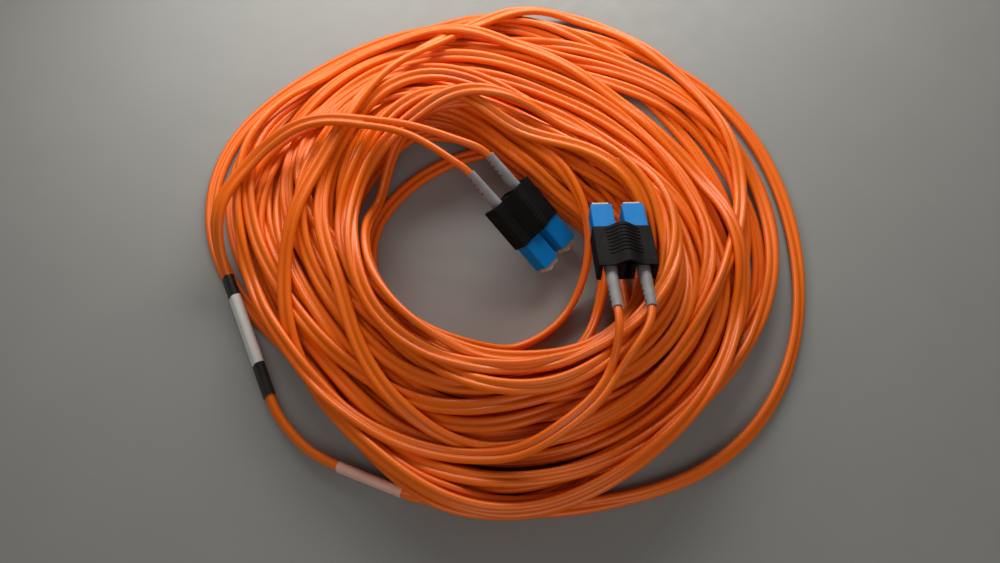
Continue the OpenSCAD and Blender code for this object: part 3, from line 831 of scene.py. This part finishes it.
def bump_node(tree, value, depth, below=None):
    """A bump of that depth in metres, on top of another bump where one is given."""
    node = tree.nodes.new("ShaderNodeBump")
    node.inputs["Strength"].default_value = 1.0
    node.inputs["Distance"].default_value = depth
    tree.links.new(value, node.inputs["Height"])
    if below:
        tree.links.new(below, node.inputs["Normal"])
    return node.outputs["Normal"]


def object_point(tree):
    """The place on the object, in metres."""
    return tree.nodes.new("ShaderNodeTexCoord").outputs["Object"]


def moulded(name, dark, light, rough, patch=120, grain=2600, grain_depth=0.00002,
            specular=0.5):
    """A moulded plastic: patches of colour, uneven gloss and a fine grain."""
    material, tree, shader = new_finish(name, rough, specular)
    point = object_point(tree)
    tree.links.new(two_colours(tree, noise_node(tree, point, patch), dark, light),
                   shader.inputs["Base Color"])
    tree.links.new(between(tree, noise_node(tree, point, patch * 4), rough - 0.06, rough + 0.08),
                   shader.inputs["Roughness"])
    tree.links.new(bump_node(tree, noise_node(tree, point, grain), grain_depth),
                   shader.inputs["Normal"])
    return material


# %% [markdown]
# ## The orange jacket
# A drawn jacket is glossy and smooth across, with faint lines that run along it from the
# die. So its streaks follow the cord's own UV map, stretched along the length. Broad
# patches of colour read the same map, and a fine grain comes from Object coordinates. The
# gloss is held back, so that the jacket shines in streaks without looking wet.

# %% Make the jacket
def jacket_finish():
    """The drawn orange jacket, with its streaks along the run."""
    material, tree, shader = new_finish("jacket_orange", 0.35, 0.44)
    point = object_point(tree)
    run = tree.nodes.new("ShaderNodeUVMap")
    run.uv_map = "run"

    def stretched(across, along):
        node = tree.nodes.new("ShaderNodeMapping")
        node.inputs["Scale"].default_value = (across, along, 1)
        tree.links.new(run.outputs["UV"], node.inputs["Vector"])
        return noise_node(tree, node.outputs["Vector"], 1.0, 3.0)

    colour = two_colours(tree, stretched(30, 7), (0.82, 0.130, 0.001), (0.90, 0.168, 0.004))
    tree.links.new(colour, shader.inputs["Base Color"])
    streak = stretched(1100, 30)
    tree.links.new(between(tree, streak, 0.29, 0.41), shader.inputs["Roughness"])
    grain = bump_node(tree, noise_node(tree, point, 1300), 0.00001)
    tree.links.new(bump_node(tree, streak, 0.000006, grain), shader.inputs["Normal"])
    return material


jacket = jacket_finish()
for piece in (coil_lower, coil_upper, lead_a, lead_b, *legs.values()):
    piece.data.materials.append(jacket)
print("jacket on", 4 + len(legs), "cords")

# %% [markdown]
# ## Plug plastics, ceramic and metal
# The clip is dull black nylon with a moulded grain, the housings are blue and smoother, and
# the boots are soft grey rubber, as rough as the clip. The plug frame is a beige plastic, and
# the ferrule is polished ceramic. The hidden metal parts get a plain brushed nickel.

# %% Make the plug finishes
DULL = 0.06
clip_black = moulded("clip_black", (0.006, 0.006, 0.0065), (0.010, 0.010, 0.011), 0.6,
                     90, 2200, 0.00003, DULL)
housing_blue = moulded("housing_blue", (0.003, 0.170, 0.52), (0.006, 0.200, 0.60), 0.46,
                       70, 3000, 0.000012, DULL)
boot_grey = moulded("boot_grey", (0.20, 0.20, 0.225), (0.27, 0.27, 0.30), 0.6, 160, 2400, 0.00003)
frame_beige = moulded("plug_frame_beige", (0.42, 0.33, 0.22), (0.50, 0.40, 0.28), 0.45, 150)
ceramic = moulded("ferrule_ceramic", (0.76, 0.74, 0.68), (0.82, 0.80, 0.75), 0.16,
                  200, 3000, 0.000004)
fibre_buffer = moulded("fibre_buffer", (0.70, 0.66, 0.52), (0.78, 0.74, 0.60), 0.4)
nickel, nickel_tree, nickel_shader = new_finish("brushed_nickel", 0.3)
nickel_shader.inputs["Metallic"].default_value = 1.0
nickel_point = object_point(nickel_tree)
nickel_tree.links.new(two_colours(nickel_tree, noise_node(nickel_tree, nickel_point, 300),
                                  (0.50, 0.49, 0.47), (0.62, 0.61, 0.59)),
                      nickel_shader.inputs["Base Color"])
nickel_tree.links.new(between(nickel_tree, noise_node(nickel_tree, nickel_point, 2500), 0.24, 0.4),
                      nickel_shader.inputs["Roughness"])
for spring in springs:
    spring.data.materials.append(nickel)

# %% [markdown]
# ## Sleeve, shrink tubes and label
# The marker sleeve is a blank white sleeve that has greyed with handling, the shrink tubes
# at its ends are black with fine lengthwise wrinkles, and the label is a thin pink wrap. All
# three wrinkle along the cord, so their noise is turned to that line and stretched along it.

# %% Wrapped finishes
def wrapped(name, dark, light, rough, heading, depth):
    """A finish on a wrap whose wrinkles follow the cord's heading, in degrees from +X."""
    material, tree, shader = new_finish(name, rough, 0.4)
    point = object_point(tree)
    turn = tree.nodes.new("ShaderNodeMapping")
    turn.vector_type = "TEXTURE"
    turn.inputs["Rotation"].default_value = (0, 0, math.radians(heading))
    turn.inputs["Scale"].default_value = (6, 1, 1)
    tree.links.new(point, turn.inputs["Vector"])
    wrinkle = noise_node(tree, turn.outputs["Vector"], 900, 3.0)
    smudge = noise_node(tree, point, 90, 4.0)
    tree.links.new(two_colours(tree, smudge, dark, light), shader.inputs["Base Color"])
    tree.links.new(between(tree, wrinkle, rough - 0.08, rough + 0.1), shader.inputs["Roughness"])
    tree.links.new(bump_node(tree, wrinkle, depth), shader.inputs["Normal"])
    return material


SLEEVE_HEADING, LABEL_HEADING = 113.7, 159.0
marker_white = wrapped("marker_white", (0.72, 0.73, 0.73), (0.84, 0.86, 0.87), 0.55,
                       SLEEVE_HEADING, 0.00005)
shrink_black = wrapped("shrink_black", (0.010, 0.011, 0.011), (0.020, 0.021, 0.020), 0.42,
                       SLEEVE_HEADING, 0.00008)
label_pink = wrapped("label_pink", (0.82, 0.47, 0.40), (0.90, 0.56, 0.50), 0.5,
                     LABEL_HEADING, 0.00004)

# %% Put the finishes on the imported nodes
FINISHES = {"clip": clip_black, "housing": housing_blue, "boot": boot_grey,
            "plug_frame": frame_beige, "ferrule_flange": nickel, "ferrule": ceramic,
            "spring": nickel, "stop_ring": nickel, "crimp_sleeve": nickel,
            "buffered_fibre": fibre_buffer, "marker_sleeve": marker_white,
            "shrink": shrink_black, "label_wrap": label_pink, "coil": jacket,
            "lead": jacket, "leg": jacket}
for node_name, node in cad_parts.items():
    kind = next(k for k in FINISHES if node_name.startswith(k))
    node.data.materials.clear()
    node.data.materials.append(FINISHES[kind])
print(len(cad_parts), "nodes finished")

# %% [markdown]
# ## Floor and light
# The coil lies on a plain floor. Two small soft lamps hang low behind it, one to the left
# and one further back, so that a highlight runs along each cord and the near side falls off.
# A large soft lamp in front and a faint even room light fill the gaps between the turns. All
# are a little warm, and the lamps themselves don't show.

# %% The floor
bpy.ops.object.select_all(action="DESELECT")
bpy.ops.mesh.primitive_plane_add(size=6, location=(0, 0, 0))
studio_floor = bpy.context.object
studio_floor.name = "studio_floor"
studio_floor.data.materials.append(
    moulded("floor_grey", (0.262, 0.274, 0.280), (0.270, 0.282, 0.288), 0.62, 25, 1400,
            0.00002, 0.3))

# %% Lamps and room light
WARM = (1.0, 0.94, 0.85)
room = bpy.data.worlds.new("room")
room.use_nodes = True
room.node_tree.nodes["Background"].inputs["Color"].default_value = (*WARM, 1)
room.node_tree.nodes["Background"].inputs["Strength"].default_value = 0.13
bpy.context.scene.world = room


def soft_lamp(name, place, width, depth, watts):
    """A warm lit panel that faces the model's origin."""
    data = bpy.data.lights.new(name, "AREA")
    data.shape, data.size, data.size_y, data.energy = "RECTANGLE", width, depth, watts
    data.color = WARM
    lamp = bpy.data.objects.new(name, data)
    bpy.context.scene.collection.objects.link(lamp)
    lamp.location = place
    lamp.visible_camera = False
    lamp.rotation_euler = (-Vector(place)).to_track_quat("-Z", "Y").to_euler()
    return lamp


left_lamp = soft_lamp("left_lamp", (-0.12, 0.20, 0.17), 0.2, 0.12, 0.47)
back_lamp = soft_lamp("back_lamp", (0.08, 0.34, 0.20), 0.2, 0.2, 1.2)
front_fill = soft_lamp("front_fill", (0.1, -0.7, 0.7), 0.6, 0.6, 2.2)
print("lamps", left_lamp.data.energy, back_lamp.data.energy, front_fill.data.energy, "W")
